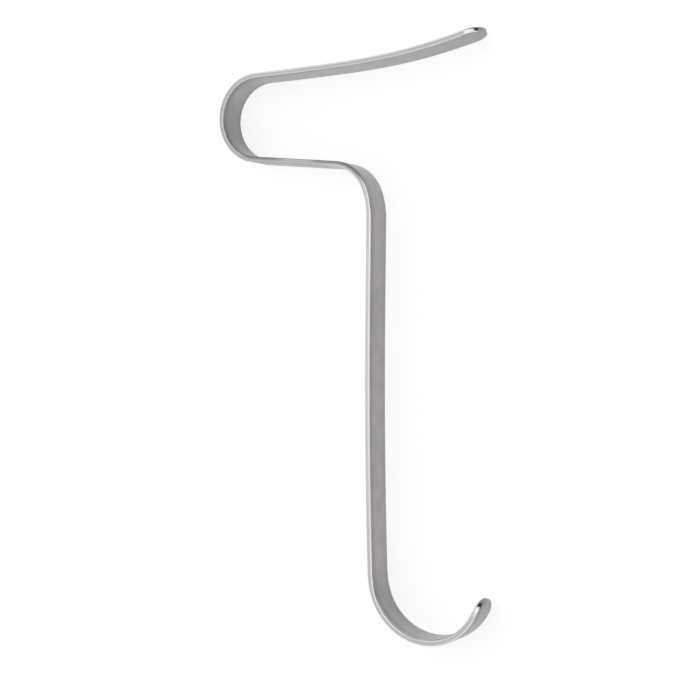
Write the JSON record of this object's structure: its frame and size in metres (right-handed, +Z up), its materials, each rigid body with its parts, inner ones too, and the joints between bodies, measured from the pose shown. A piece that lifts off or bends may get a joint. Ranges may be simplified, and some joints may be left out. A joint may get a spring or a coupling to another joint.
{
  "type": "flap retractor",
  "caption": "Flap retractor bent from one flat strip of satin steel, with a long curved blade, a clip bend, a straight shank and a finger hook, both ends rounded.",
  "frame": {"origin": "middle of the part's footprint on the table, with the strip standing on its lower long edge", "axes": "+Y along the shank towards the blade, +X the way the blade and the finger hook open, +Z up across the strip's width"},
  "size_m": [0.0918, 0.1802, 0.01],
  "materials": {
    "steel": "satin, brushed along the strip, with polished edges"
  },
  "bodies": {
    "root": {"retractor_strip": "steel"}
  },
  "joints": []
}
